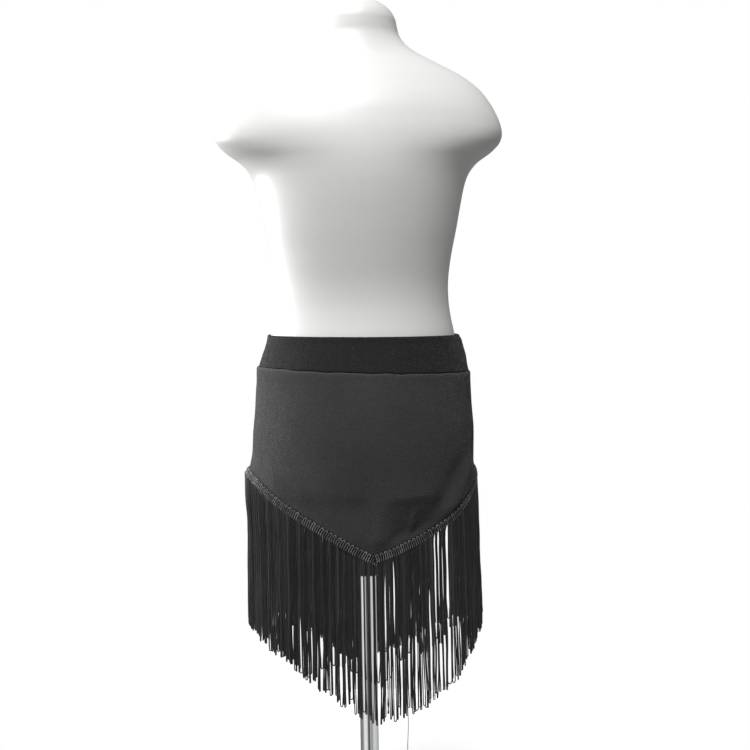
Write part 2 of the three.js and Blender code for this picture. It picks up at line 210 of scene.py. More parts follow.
def face(table, side, deg, z, move, height=None):
    """Points of a face, moved out by move, at section z and height (z unless given)."""
    deg, z, move = np.broadcast_arrays(np.asarray(deg, float), np.asarray(z, float), np.asarray(move, float))
    x, y, nx, ny = plan(table, side, deg, z)
    h = z if height is None else np.broadcast_to(height, z.shape)
    return np.stack([x + nx * move, y + ny * move, h], -1)


def outward(table, side, deg, z):
    deg, z = np.broadcast_arrays(np.asarray(deg, float), np.asarray(z, float))
    _, _, nx, ny = plan(table, side, deg, z)
    return np.stack([nx, ny, np.zeros_like(nx)], -1)


def make(name, verts, groups, material, uv=None, sharp=60, flip_check=True):
    """A mesh object from vertices in mm and a list of index arrays, each with its faces' corners in rows."""
    verts = np.asarray(verts, float)
    if flip_check:
        volume = 0.0
        for g in groups:
            for k in range(1, g.shape[1] - 1):
                a, b, c = verts[g[:, 0]], verts[g[:, k]], verts[g[:, k + 1]]
                volume += float(np.einsum("ij,ij->i", a, np.cross(b, c)).sum())
        if volume < 0:
            groups = [g[:, ::-1] for g in groups]
            if uv is not None:
                uv = [u[:, ::-1] for u in uv]
    mesh = bpy.data.meshes.new(name)
    loops = np.concatenate([g.ravel() for g in groups]).astype(np.int32)
    total = np.concatenate([np.full(len(g), g.shape[1]) for g in groups]).astype(np.int32)
    start = np.concatenate([[0], np.cumsum(total)[:-1]]).astype(np.int32)
    mesh.vertices.add(len(verts))
    mesh.vertices.foreach_set("co", (verts * MM).astype(np.float32).ravel())
    mesh.loops.add(len(loops))
    mesh.loops.foreach_set("vertex_index", loops)
    mesh.polygons.add(len(total))
    mesh.polygons.foreach_set("loop_start", start)
    mesh.polygons.foreach_set("loop_total", total)
    mesh.polygons.foreach_set("use_smooth", np.ones(len(total), bool))
    if uv is not None:
        layer = mesh.uv_layers.new(name="UVMap")
        flat = np.concatenate([u.reshape(-1, 2) for u in uv]).astype(np.float32)
        layer.data.foreach_set("uv", (flat * MM).ravel())
    mesh.update(calc_edges=True)
    if mesh.validate():
        print("validated with changes:", name)
    mesh.set_sharp_from_angle(angle=math.radians(sharp))
    mesh.materials.append(material)
    obj = bpy.data.objects.new(name, mesh)
    bpy.context.scene.collection.objects.link(obj)
    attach(obj, "root")
    return obj


def loop_shell(rows, us, vs):
    """A wall, closed round its section. rows is (N, I, 3): N points round the section, closed, for each of I columns.
    The first and last columns are left open here; the callers close them, mostly by strips between the rows of the
    outer and the inner face."""
    n, cols = rows.shape[:2]
    verts = rows.reshape(-1, 3)
    j, i = np.meshgrid(np.arange(n), np.arange(cols - 1), indexing="ij")
    k = (j + 1) % n
    quads = np.stack([j * cols + i, j * cols + i + 1, k * cols + i + 1, k * cols + i], -1).reshape(-1, 4)
    v_next = np.where(j + 1 < n, vs[np.minimum(j + 1, n - 1)], vs[n - 1] + 1)
    uv = np.stack([
        np.stack([us[i], vs[j]], -1), np.stack([us[i + 1], vs[j]], -1),
        np.stack([us[i + 1], v_next], -1), np.stack([us[i], v_next], -1),
    ], -2).reshape(-1, 4, 2)
    return verts, quads, uv


def tubes(paths, normals, radius, sides, u_round=4.0):
    """Closed tubes along (M, N, 3) paths, with normals as the reference across them."""
    paths = np.asarray(paths, float)
    m, n = paths.shape[:2]
    t = np.gradient(paths, axis=1)
    t /= np.linalg.norm(t, axis=2, keepdims=True)
    n1 = normals - t * np.sum(t * normals, axis=2, keepdims=True)
    n1 /= np.linalg.norm(n1, axis=2, keepdims=True)
    n2 = np.cross(t, n1)
    ang = 2 * np.pi * np.arange(sides) / sides
    radius = np.broadcast_to(np.asarray(radius, float), (m, n))[..., None, None]
    ring = paths[:, :, None, :] + radius * (
        np.cos(ang)[None, None, :, None] * n1[:, :, None, :] + np.sin(ang)[None, None, :, None] * n2[:, :, None, :]
    )
    verts = ring.reshape(-1, 3)
    a, j, k = np.meshgrid(np.arange(m), np.arange(n - 1), np.arange(sides), indexing="ij")
    base = (a * n + j) * sides
    k2 = (k + 1) % sides
    quads = np.stack([base + k, base + k2, base + sides + k2, base + sides + k], -1).reshape(-1, 4)
    along = np.concatenate([np.zeros((m, 1)), np.cumsum(np.linalg.norm(np.diff(paths, axis=1), axis=2), axis=1)], 1)
    v0, v1 = along[a, j], along[a, j + 1]
    u0, u1 = (a + k / sides) * u_round, (a + (k + 1) / sides) * u_round
    uv = np.stack([np.stack([u0, v0], -1), np.stack([u1, v0], -1), np.stack([u1, v1], -1), np.stack([u0, v1], -1)], -2).reshape(-1, 4, 2)
    first = (np.arange(m) * n * sides)[:, None] + np.arange(sides)[::-1][None, :]
    last = (np.arange(m) * n * sides + (n - 1) * sides)[:, None] + np.arange(sides)[None, :]
    caps = np.concatenate([first, last])
    return verts, quads, caps, uv, np.zeros((len(caps), sides, 2))


def join(parts):
    """Several (verts, [groups], [uvs]) as one."""
    verts, groups, uvs, at = [], [], [], 0
    for v, gs, us in parts:
        verts.append(v)
        groups += [g + at for g in gs]
        uvs += us
        at += len(v)
    return np.concatenate(verts), groups, uvs


def lathe(profile, seg, centre=(0.0, 0.0)):
    """A turned solid. The profile is (radius, z) rows: both ends on the axis, or a closed loop."""
    profile = np.array(profile, float)
    solid = profile[0, 0] == 0
    ring = profile[1:-1] if solid else profile
    ang = 2 * np.pi * np.arange(seg) / seg
    n = len(ring)
    verts = np.stack([
        centre[0] + ring[:, 0, None] * np.cos(ang), centre[1] + ring[:, 0, None] * np.sin(ang),
        np.repeat(ring[:, 1, None], seg, 1),
    ], -1).reshape(-1, 3)
    j, k = np.meshgrid(np.arange(n - 1 if solid else n), np.arange(seg), indexing="ij")
    k2, j2 = (k + 1) % seg, (j + 1) % n
    groups = [np.stack([j * seg + k, j * seg + k2, j2 * seg + k2, j2 * seg + k], -1).reshape(-1, 4)]
    if solid:
        verts = np.concatenate([verts, [[*centre, profile[0, 1]], [*centre, profile[-1, 1]]]])
        k = np.arange(seg)
        groups.append(np.concatenate([
            np.stack([np.full(seg, n * seg), (k + 1) % seg, k], -1),
            np.stack([np.full(seg, n * seg + 1), (n - 1) * seg + k, (n - 1) * seg + (k + 1) % seg], -1),
        ]))
    return verts, groups


def softened(profile, r=0.8, steps=3):
    """Rounds each corner of a (radius, z) profile."""
    p = [np.array(x, float) for x in profile]
    out = [p[0]]
    for a, b, c in zip(p, p[1:], p[2:]):
        d0, d1 = np.linalg.norm(a - b), np.linalg.norm(c - b)
        e = min(r, d0 * 0.45, d1 * 0.45)
        q0, q1 = b + (a - b) / d0 * e, b + (c - b) / d1 * e
        for k in range(steps + 1):
            u = k / steps
            out.append((1 - u) ** 2 * q0 + 2 * u * (1 - u) * b + u * u * q1)
    out.append(p[-1])
    return [tuple(x) for x in out]


# ------------------------------------------------------------------ materials
class Shader:
    """Short names for building a node tree."""

    def __init__(self, name, **values):
        self.mat = bpy.data.materials.new(name)
        self.mat.use_nodes = True
        self.tree = self.mat.node_tree
        self.bsdf = self.tree.nodes["Principled BSDF"]
        for key, value in values.items():
            self.bsdf.inputs[key.replace("_", " ")].default_value = value

    def node(self, kind, inputs=None, **props):
        n = self.tree.nodes.new(kind)
        for key, value in props.items():
            setattr(n, key, value)
        for key, value in (inputs or {}).items():
            if hasattr(value, "links"):
                self.tree.links.new(value, n.inputs[key])
            else:
                n.inputs[key].default_value = value
        return n

    def math(self, op, a, b=None, c=None, clamp=False):
        n = self.tree.nodes.new("ShaderNodeMath")
        n.operation, n.use_clamp = op, clamp
        for k, v in enumerate((a, b, c)):
            if v is None:
                continue
            if hasattr(v, "links"):
                self.tree.links.new(v, n.inputs[k])
            else:
                n.inputs[k].default_value = v
        return n.outputs[0]

    def coords(self, kind="Object", scale=(1, 1, 1)):
        tex = self.node("ShaderNodeTexCoord")
        return self.node("ShaderNodeMapping", {"Vector": tex.outputs[kind], "Scale": scale}).outputs[0]

    def noise(self, vector, scale, detail=3.0, rough=0.55):
        return self.node("ShaderNodeTexNoise", {"Vector": vector, "Scale": scale, "Detail": detail, "Roughness": rough}).outputs["Fac"]

    def ramp(self, fac, stops):
        n = self.node("ShaderNodeValToRGB", {"Fac": fac})
        e = n.color_ramp.elements
        while len(e) < len(stops):
            e.new(0.5)
        for k, (pos, col) in enumerate(stops):
            e[k].position = pos
            e[k].color = (*col, 1) if len(col) == 3 else col
        return n.outputs["Color"]

    def range(self, value, a, b, c, d):
        return self.node("ShaderNodeMapRange", {"Value": value, "From Min": a, "From Max": b, "To Min": c, "To Max": d}).outputs["Result"]

    def bump(self, height, strength, distance, normal=None):
        ins = {"Height": height, "Strength": strength, "Distance": distance}
        if normal is not None:
            ins["Normal"] = normal
        return self.node("ShaderNodeBump", ins).outputs["Normal"]

    def link(self, value, socket):
        self.tree.links.new(value, self.bsdf.inputs[socket])


def knit(name, dark, light, stitch=0.85):
    """A fine matt jersey: columns of small V stitches, lint, and uneven dye."""
    s = Shader(name, Roughness=0.9, Specular_IOR_Level=0.06, Sheen_Roughness=0.35, Sheen_Tint=(0.9, 0.9, 0.92, 1))
    uv = s.node("ShaderNodeTexCoord").outputs["UV"]
    sep = s.node("ShaderNodeSeparateXYZ", {"Vector": uv})
    k = 2 * math.pi / (stitch * MM)
    wobble = s.math("MULTIPLY", s.math("SUBTRACT", s.noise(uv, 260, 2), 0.5), 0.0009)
    u = s.math("ADD", sep.outputs["X"], wobble)
    wale = s.math("SINE", s.math("MULTIPLY", u, k))
    # each course leans one way on the left of its wale and the other on the right
    lean = s.math("MULTIPLY", s.math("ABSOLUTE", s.math("SINE", s.math("MULTIPLY", u, k / 2))), 1.5)
    course = s.math("SINE", s.math("ADD", s.math("MULTIPLY", sep.outputs["Y"], k * 1.15), lean))
    stitchy = s.math("MULTIPLY", s.math("ADD", s.math("MULTIPLY", wale, 0.6), course), 0.5)
    obj = s.coords("Object")
    patch = s.noise(obj, 9, 4)
    fuzz = s.noise(obj, 620, 3, 0.75)
    lint = s.range(s.noise(obj, 520, 1, 0.4), 0.77, 0.80, 0.0, 1.0)
    tone = s.math("ADD", s.math("MULTIPLY", s.math("SUBTRACT", patch, 0.5), 0.5), s.math("MULTIPLY", s.math("SUBTRACT", fuzz, 0.5), 0.95))
    # the raised loops of the stitch pattern are also painted lighter and the hollows between them darker: painted
    # shade, on top of the bump below
    tone = s.math("ADD", s.math("ADD", tone, s.math("MULTIPLY", stitchy, 0.16)), 0.5)
    base = s.ramp(tone, [(0.0, dark), (1.0, light)])
    mixed = s.node("ShaderNodeMix", {"Factor": s.math("MULTIPLY", lint, 0.35)}, data_type="RGBA")
    s.tree.links.new(base, mixed.inputs[6])
    mixed.inputs[7].default_value = (0.2, 0.2, 0.2, 1)
    s.link(mixed.outputs[2], "Base Color")
    # fibre ends catch the light where it grazes the cloth
    s.link(s.range(s.noise(obj, 700, 2, 0.6), 0.42, 0.68, 0.0, 0.30), "Sheen Weight")
    # the rows of stitches read as a faint slanting line, coarser than one stitch
    slant = s.math("SINE", s.math("MULTIPLY", s.math("ADD", s.math("MULTIPLY", sep.outputs["X"], 0.45), sep.outputs["Y"]), 2 * math.pi / (2.3 * MM)))
    n = s.bump(stitchy, 0.5, 0.00024)
    n = s.bump(slant, 0.8, 0.00036, n)
    n = s.bump(fuzz, 0.9, 0.00085, n)
    s.link(n, "Normal")
    return s.mat


def cord_material(name, dark, light, rough, pitch=2.2, spec=0.5, depth=0.00012, spread=0.5, sheen=0.04):
    """A twisted rayon cord: plies running round it, silky, with some strands paler than others."""
    s = Shader(name, Specular_IOR_Level=spec, Anisotropic=0.35, Sheen_Weight=sheen, Sheen_Roughness=0.3)
    uv = s.node("ShaderNodeTexCoord").outputs["UV"]
    sep = s.node("ShaderNodeSeparateXYZ", {"Vector": uv})
    # three plies: the angle round the cord (4 mm of u is once round) plus the way along it
    turn = s.math("ADD", s.math("MULTIPLY", sep.outputs["X"], 3 * 2 * math.pi / (4 * MM)), s.math("MULTIPLY", sep.outputs["Y"], 2 * math.pi / (pitch * MM)))
    ply = s.math("SINE", turn)
    strand = s.math("FLOOR", s.math("MULTIPLY", sep.outputs["X"], 1 / (4 * MM)))
    own = s.node("ShaderNodeTexWhiteNoise", {"W": strand}, noise_dimensions="1D").outputs["Value"]
    along = s.noise(s.coords("Object", (1, 1, 0.25)), 160, 3)
    tone = s.math("ADD", s.math("MULTIPLY", s.math("SUBTRACT", own, 0.5), spread), s.math("MULTIPLY", s.math("SUBTRACT", along, 0.5), 0.5))
    # the ply crowns are also painted lighter and the grooves between the plies darker: painted shade, on top of the ply
    # bump
    tone = s.math("ADD", s.math("ADD", tone, 0.42), s.math("MULTIPLY", ply, 0.16))
    s.link(s.ramp(tone, [(0.0, dark), (0.60, tuple(0.65 * a + 0.35 * b for a, b in zip(dark, light))), (1.0, light)]), "Base Color")
    s.link(s.range(along, 0.3, 0.7, rough - 0.07, rough + 0.08), "Roughness")
    s.link(s.bump(ply, 0.7, depth), "Normal")
    return s.mat


def form_material():
    """White gel-coated shell: faint ripple, fine dimples, a little dust and yellowing."""
    s = Shader("form_white", Roughness=0.42, Specular_IOR_Level=0.4, Coat_Weight=0.12, Coat_Roughness=0.3)
    obj = s.coords("Object")
    cloud = s.noise(obj, 7, 4)
    dimple = s.noise(obj, 620, 2, 0.5)
    wave = s.noise(obj, 26, 2, 0.4)
    dust = s.range(s.noise(obj, 90, 5, 0.7), 0.55, 0.8, 0.0, 1.0)
    tone = s.math("ADD", s.math("MULTIPLY", cloud, 0.7), s.math("MULTIPLY", dust, 0.25))
    s.link(s.ramp(tone, [(0.15, (0.48, 0.477, 0.469)), (0.85, (0.43, 0.427, 0.417))]), "Base Color")
    s.link(s.range(cloud, 0.3, 0.7, 0.36, 0.5), "Roughness")
    n = s.bump(wave, 0.12, 0.002)
    s.link(s.bump(dimple, 0.10, 0.0004, n), "Normal")
    return s.mat


def chrome_material(name, rough=0.07, brushed=(1, 1, 0.02)):
    s = Shader(name, Metallic=1.0)
    obj = s.coords("Object", brushed)
    line = s.noise(obj, 900, 3, 0.6)
    smear = s.noise(s.coords("Object"), 22, 4)
    speck = s.range(s.noise(s.coords("Object"), 340, 2, 0.5), 0.72, 0.78, 0.0, 1.0)
    s.link(s.ramp(smear, [(0.25, (0.82, 0.83, 0.84)), (0.8, (0.74, 0.75, 0.77))]), "Base Color")
    r = s.math("ADD", s.range(smear, 0.35, 0.75, rough, rough + 0.09), s.math("MULTIPLY", speck, 0.15))
    s.link(r, "Roughness")
    s.link(s.bump(line, 0.05, 0.0002), "Normal")
    return s.mat


def black_material(name, rough=0.45, grain=240):
    s = Shader(name, Specular_IOR_Level=0.4)
    obj = s.coords("Object")
    a, b = s.noise(obj, grain, 3), s.noise(obj, 12, 4)
    s.link(s.ramp(b, [(0.3, (0.014, 0.014, 0.015)), (0.75, (0.03, 0.03, 0.031))]), "Base Color")
    s.link(s.range(a, 0.3, 0.7, rough - 0.1, rough + 0.12), "Roughness")
    s.link(s.bump(a, 0.25, 0.0004), "Normal")
    return s.mat


KNIT = knit("black_jersey", (0.0157, 0.0157, 0.0161), (0.0567, 0.0567, 0.0587))
# The waistband is the skirt's own jersey painted darker: painted shade, the shadow a top worn over the band would cast.
KNIT_BAND_PAINTED_SHADE = knit("black_jersey_band_painted_shade", (0.0060, 0.0060, 0.0062), (0.0235, 0.0235, 0.0244), 0.8)
RAYON = cord_material("black_rayon_cord", (0.0016, 0.0016, 0.0017), (0.028, 0.028, 0.0292), 0.38, 2.2, 0.20, spread=1.3)
# The braid's ribs are the same black rayon as the fringe, painted pale grey: a painted highlight on their crowns,
# beside their real gloss.
RIBS_PAINTED_HIGHLIGHT = cord_material("braid_rib_painted_highlight", (0.05, 0.05, 0.051), (0.42, 0.42, 0.425), 0.28, 1.6, 0.6, 0.0002, sheen=0.0)
TAPE = cord_material("braid_ground", (0.003, 0.003, 0.003), (0.010, 0.010, 0.0105), 0.7, 1.2, 0.2)
THREAD = cord_material("sewing_thread", (0.012, 0.012, 0.012), (0.05, 0.05, 0.052), 0.45, 0.8, 0.5, 0.00005)
WHITE = form_material()
CHROME = chrome_material("chrome_pole")
CHROME_FOOT = chrome_material("chrome_foot", 0.10, (1, 1, 1))
BLACK = black_material("black_board")
BLACK_METAL = black_material("black_socket", 0.38, 500)

TOPS = [0, 0.35, 0.75, 1.2, 1.8, 2.6, 3.6, 4.8, 6.2]  # fine steps beside a seam, in mm


def side_steps(side, table, z, step, count_hint=None):
    """Degrees across a panel, close together beside the side seams, and the run in mm to each."""
    fine = np.linspace(-90 + SIDE_GAP, 90 - SIDE_GAP, 3601)
    p = face(table, side, fine, z, 0)
    q = np.concatenate([[0], np.cumsum(np.linalg.norm(np.diff(p, axis=0), axis=1))])
    total = q[-1]
    edge = np.array(TOPS)
    mid = np.linspace(edge[-1], total - edge[-1], max(3, int(round((total - 2 * edge[-1]) / step))) + 1)
    run = np.concatenate([edge[:-1], mid, (total - edge[:-1])[::-1]])
    return np.interp(run, q, fine), run, total


# ------------------------------------------------------------------ skirt panels
def relief(side, deg, z):
    out = np.zeros(np.broadcast(deg, z).shape)
    for where, d0, z0, wide, high, slant, amount in CREASES:
        if where == side:
            u = (deg - d0 - slant * (z - z0)) / wide
            v = (z - z0) / high
            out = out + amount * np.exp(-(u * u) - v * v)
    # the cloth steps in where the form ends, and hangs free below
    free = smooth(z, 566, 543) * np.exp(-((np.minimum(z - 545, 0) / 32) ** 2))
    if side == "back":
        ledge = 2.9 * np.exp(-(((deg + 18) / 22) ** 4))
        # right of the point nothing holds it, and it goes on leaning in down to the hem
        lean = -np.exp(-(((deg - 24) / 15.5) ** 4)) * (3.6 * smooth(z, 557, 545) + 0.30 * np.clip(551 - z, 0, 60))
    else:
        lean = 0.0
        ledge = 1.6 * np.exp(-(((deg - 4) / 42) ** 4))
    out = out - ledge * free * (0.85 + 0.3 * ripple(31, deg / 24.0, z / 60.0))
    # right of a soft valley the cloth flares on its way down to the hem
    if side == "back":
        past = deg - (40 + 0.30 * (z - 546))
        flare = (3.0 + 2.6 * np.exp(-(((deg - 62) / 12) ** 2))) * smooth(past, -1, 13) - 2.7 * np.exp(-(((past + 2.5) / 6.0) ** 2))
        high = 612 - 26 * smooth(deg, 58, 86)
        out = out + flare * smooth(z, high, high - 30)
    # nothing is quite even, least of all below the form
    # fuller at the +X hip, closer at the -X end of the waist seam
    out = out + 1.4 * np.exp(-(((deg - 90) / 30) ** 2)) * smooth(z, 585, 640)
    out = out - 2.0 * np.exp(-(((deg + 90) / 30) ** 2)) * smooth(z, 676, 712)
    loose = 0.12 + 0.36 * smooth(z, 575, 530)
    out = out + loose * ripple(32 if side == "back" else 33, deg / 17.0, z / 85.0)
    # it calms towards the braid, and follows the braid's own stand and tilt
    above = z - hem_top(deg)
    out = out * smooth(above, -3, 9)
    w = np.clip((above + HEADER) * HEADER_WIDE / HEADER, -2, HEADER_WIDE)
    tilt = np.minimum(roll_of(side, deg), 0)
    reach = 17 + 7 * smooth(deg, -55, -80) - 7 * smooth(deg, 55, 80)
    near = smooth(above / reach, 1, 0.06)
    return out + lean * (1 - near) + (hem_out(side, deg) + (w - HEADER_WIDE / 2) * np.sin(tilt)) * near


def seam_wave(side, deg):
    """The waist seam isn't drawn quite straight."""
    return 0.45 * ripple(92 if side == "back" else 93, deg / 24.0) * smooth(90 - np.abs(deg), 0, 14)


def panel(side):
    deg, run, total = side_steps(side, SKIRT, 620.0, 1.9)
    high = WAIST_SEAM - SEAM_DROP * 140 * np.sin(np.radians(deg)) + seam_wave(side, deg)
    low = hem_top(deg) - HEM_LAP
    top = np.array(TOPS)
    rest = np.linspace(0, 1, 92)[1:]
    z_top = high[None, :] - top[:, None]
    z_rest = z_top[-1] + (low - z_top[-1])[None, :] * rest[:, None]
    z = np.concatenate([z_top, z_rest])  # from the waist seam down
    d = np.broadcast_to(deg, z.shape)
    below = high[None, :] - z
    edge = np.minimum(run, total - run)[None, :]
    out = relief(side, d, z)
    # waist seam: the panel's edge rolls in, with a small full lip and fine puckers under it
    pucker = ripple(41 if side == "back" else 42, run[None, :] / 9.0, below / 40)
    fine = ripple(43 if side == "back" else 44, run[None, :] / 3.4)
    roll_in = np.clip(2.4 - below, 0, 2.4)
    out = out + 0.25 * np.exp(-(((below - 4.2) / 3.6) ** 2)) - 0.55 * (2.4 - np.sqrt(np.maximum(2.4**2 - roll_in**2, 0)))
    out = out + (0.30 * pucker + 0.10 * fine) * np.exp(-below / 6.5)
    # side seams: both edges turn in, and draw the cloth a little
    draw = ripple(45 if side == "back" else 46, z / 11.0, 0.0)
    out = out - 1.4 * np.exp(-((edge / 1.0) ** 2)) + 0.35 * np.exp(-(((edge - 3.2) / 2.2) ** 2)) + 0.16 * draw * np.exp(-edge / 6.0)
    # the hem is pulled a little at each few stitches of the braid
    above = z - low[None, :]
    out = out + 0.22 * ripple(47 if side == "back" else 48, run[None, :] / 12.0) * np.exp(-(((above - 11) / 9) ** 2))
    outer = face(SKIRT, side, d, z, out)
    inner = face(SKIRT, side, d, z, out - CLOTH)
    mid_top = face(SKIRT, side, d[:1], z[:1] + 0.12, out[:1] - CLOTH / 2)
    mid_low = face(SKIRT, side, d[-1:], z[-1:] - 0.35, out[-1:] - CLOTH / 2)
    rows = np.concatenate([outer, mid_low, inner[::-1], mid_top])
    n = len(rows)
    zs = z[:, len(deg) // 2]
    vs = np.concatenate([zs, [zs[-1] - 1], zs[::-1], [zs[0] + 1]])
    verts, quads, uv = loop_shell(rows, run, vs)
    # the section starts at the outer top and ends with the top's middle row
    half = len(z)
    a = np.arange(half - 1)
    inner_row = lambda k: 2 * half - k  # row of the inner face opposite outer row k
    cols = len(deg)
    lo = np.stack([a, a + 1, inner_row(a + 1), inner_row(a)], -1) * cols
    tri_low = np.array([[half - 1, half, inner_row(half - 1)]]) * cols
    tri_top = np.array([[0, inner_row(0), n - 1]]) * cols
    caps = [lo, lo[:, ::-1] + cols - 1]
    tris = np.concatenate([tri_low, tri_top, tri_low[:, ::-1] + cols - 1, tri_top[:, ::-1] + cols - 1])
    groups = [quads, *caps, tris]
    uvs = [uv] + [np.zeros((len(g), g.shape[1], 2)) for g in groups[1:]]
    return make(f"skirt_{side}_cloth", verts, groups, KNIT, uvs, 70)


# ------------------------------------------------------------------ waistband
def band(side):
    deg, run, total = side_steps(side, BAND, 735.0, 2.0)
    x = 140 * np.sin(np.radians(deg))
    low = WAIST_SEAM - SEAM_DROP * x + seam_wave(side, deg) + 0.06
    high = WAIST_TOP - TOP_DROP * x
    bottoms = np.array(TOPS)
    z_low = low[None, :] + bottoms[:, None]
    rest = np.linspace(0, 1, 22)[1:]
    z_rest = z_low[-1] + (high - 1.2 - z_low[-1])[None, :] * rest[:, None]
    z = np.concatenate([z_low, z_rest])  # from the seam up
    d = np.broadcast_to(deg, z.shape)
    above = z - low[None, :]
    under = high[None, :] - z
    edge = np.minimum(run, total - run)[None, :]
    seed = 60 if side == "back" else 70
    gather = ripple(seed, run[None, :] / 13.0, above / 60.0)
    fine = ripple(seed + 1, run[None, :] / 4.6, above / 30.0)
    out = -1.0 * np.exp(-((above / 0.8) ** 2)) + 0.25 * np.exp(-(((above - 3.5) / 2.6) ** 2))
    out = out + (0.22 * gather + 0.10 * fine) * np.exp(-above / 9.0)
    out = out + (0.10 * ripple(seed + 2, run[None, :] / 16.0, above / 40.0) + 0.05 * fine)
    out = out + 0.35 * np.exp(-((under / 5.0) ** 2)) - 0.25 * np.exp(-(((under - 9.0) / 3.0) ** 2)) * 0.6
    out = out - 1.3 * np.exp(-((edge / 1.0) ** 2)) + 0.30 * np.exp(-(((edge - 3.2) / 2.2) ** 2))
    out = out + 2.6 * np.exp(-(((d - 90) / 26) ** 2)) * smooth(under, 0, 8) * smooth(above, 0, 26)
    thick = 2.4
    outer = face(BAND, side, d, z, out)
    inner = face(BAND, side, d, z, out - thick)
    zt, ot, dt = z[-1], out[-1], deg
    arc = []
    for k in range(1, 8):  # the fold at the top is round
        f = math.pi * k / 8
        arc.append(face(BAND, side, dt, zt + 1.2 * math.sin(f), ot - thick / 2 + thick / 2 * math.cos(f)))
    low_arc = [face(BAND, side, deg, z[0] - 0.1, out[0] - thick / 2)]
    rows = np.concatenate([outer, np.array(arc), inner[::-1], np.array(low_arc)])
    n, cols, half, na = len(rows), len(deg), len(z), len(arc)
    zs = z[:, cols // 2]
    vs = np.concatenate([zs, zs[-1] + 0.4 * np.arange(1, na + 1), zs[::-1], [zs[0] - 1]])
    verts, quads, uv = loop_shell(rows, run, vs)
    opp = lambda k: 2 * half + na - 1 - k
    a = np.arange(half - 1)
    lo = np.stack([a, opp(a), opp(a + 1), a + 1], -1) * cols
    ends = np.arange(half - 1, half + na + 1)  # the round top's own end, one face
    groups = [quads, lo[:, ::-1], lo + cols - 1, (ends * cols)[None, :], (ends[::-1] * cols + cols - 1)[None, :]]
    bottom = np.array([[0, opp(0), n - 1]]) * cols
    groups += [bottom, bottom[:, ::-1] + cols - 1]
    uvs = [uv] + [np.zeros((len(g), g.shape[1], 2)) for g in groups[1:]]
    return make(f"waistband_{side}_cloth", verts, groups, KNIT_BAND_PAINTED_SHADE, uvs, 70)


# ------------------------------------------------------------------ braid
def limb(side, sign, extend):
    """The braid's middle line on one half: degrees, points, along, across (up) and out directions."""
    fine = np.linspace(0, 90 - SIDE_GAP, 901) * sign
    z = hem_top(fine) - HEADER / 2
    if sign < 0:
        z[0] = hem_top(-1e-6) - HEADER / 2
    p = face(SKIRT, side, fine, z, 0.55 + hem_out(side, fine))
    out = outward(SKIRT, side, fine, z)
    if extend:  # the lower limb runs on past the point, straight
        step = p[0] - p[6]
        step /= np.linalg.norm(step)
        k = np.arange(12, 0, -1)[:, None] * extend / 12
        p = np.concatenate([p[0] + step * k, p])
        out = np.concatenate([np.repeat(out[:1], 12, 0), out])
        fine = np.concatenate([np.zeros(12) + 1e-4 * sign, fine])
    t = np.gradient(p, axis=0)
    t /= np.linalg.norm(t, axis=1, keepdims=True)
    if extend:
        t[:14] = t[14]
    up = np.cross(out, t) * sign * (1 if side == "back" else -1)
    up *= np.sign(up[:, 2:3])
    up /= np.linalg.norm(up, axis=1, keepdims=True)
    s = np.concatenate([[0], np.cumsum(np.linalg.norm(np.diff(p, axis=0), axis=1))])
    roll = roll_of(side, fine)
    n = np.cross(t, up)
    n *= np.sign(np.sum(n * out, axis=1, keepdims=True))
    return fine, p, t, up, n, s, roll


def on_braid(data, s, w, h, lift=0.0):
    """Points on the braid: s along it, w across from its lower edge, h out of it."""
    fine, p, t, up, n, run, roll = data
    s, w, h = np.broadcast_arrays(np.asarray(s, float), np.asarray(w, float), np.asarray(h, float))
    at = lambda field: np.stack([np.interp(s, run, field[:, k]) for k in range(3)], -1)
    r = np.interp(s, run, roll)
    P, U, N = at(p), at(up), at(n)
    U /= np.linalg.norm(U, axis=-1, keepdims=True)
    N /= np.linalg.norm(N, axis=-1, keepdims=True)
    c, q = np.cos(r), np.sin(r)
    up2 = U * c[..., None] + N * q[..., None]
    n2 = N * c[..., None] - U * q[..., None]
    low = P - up2 * (HEADER_WIDE / 2)
    return low + up2 * w[..., None] + n2 * (h + lift)[..., None], n2


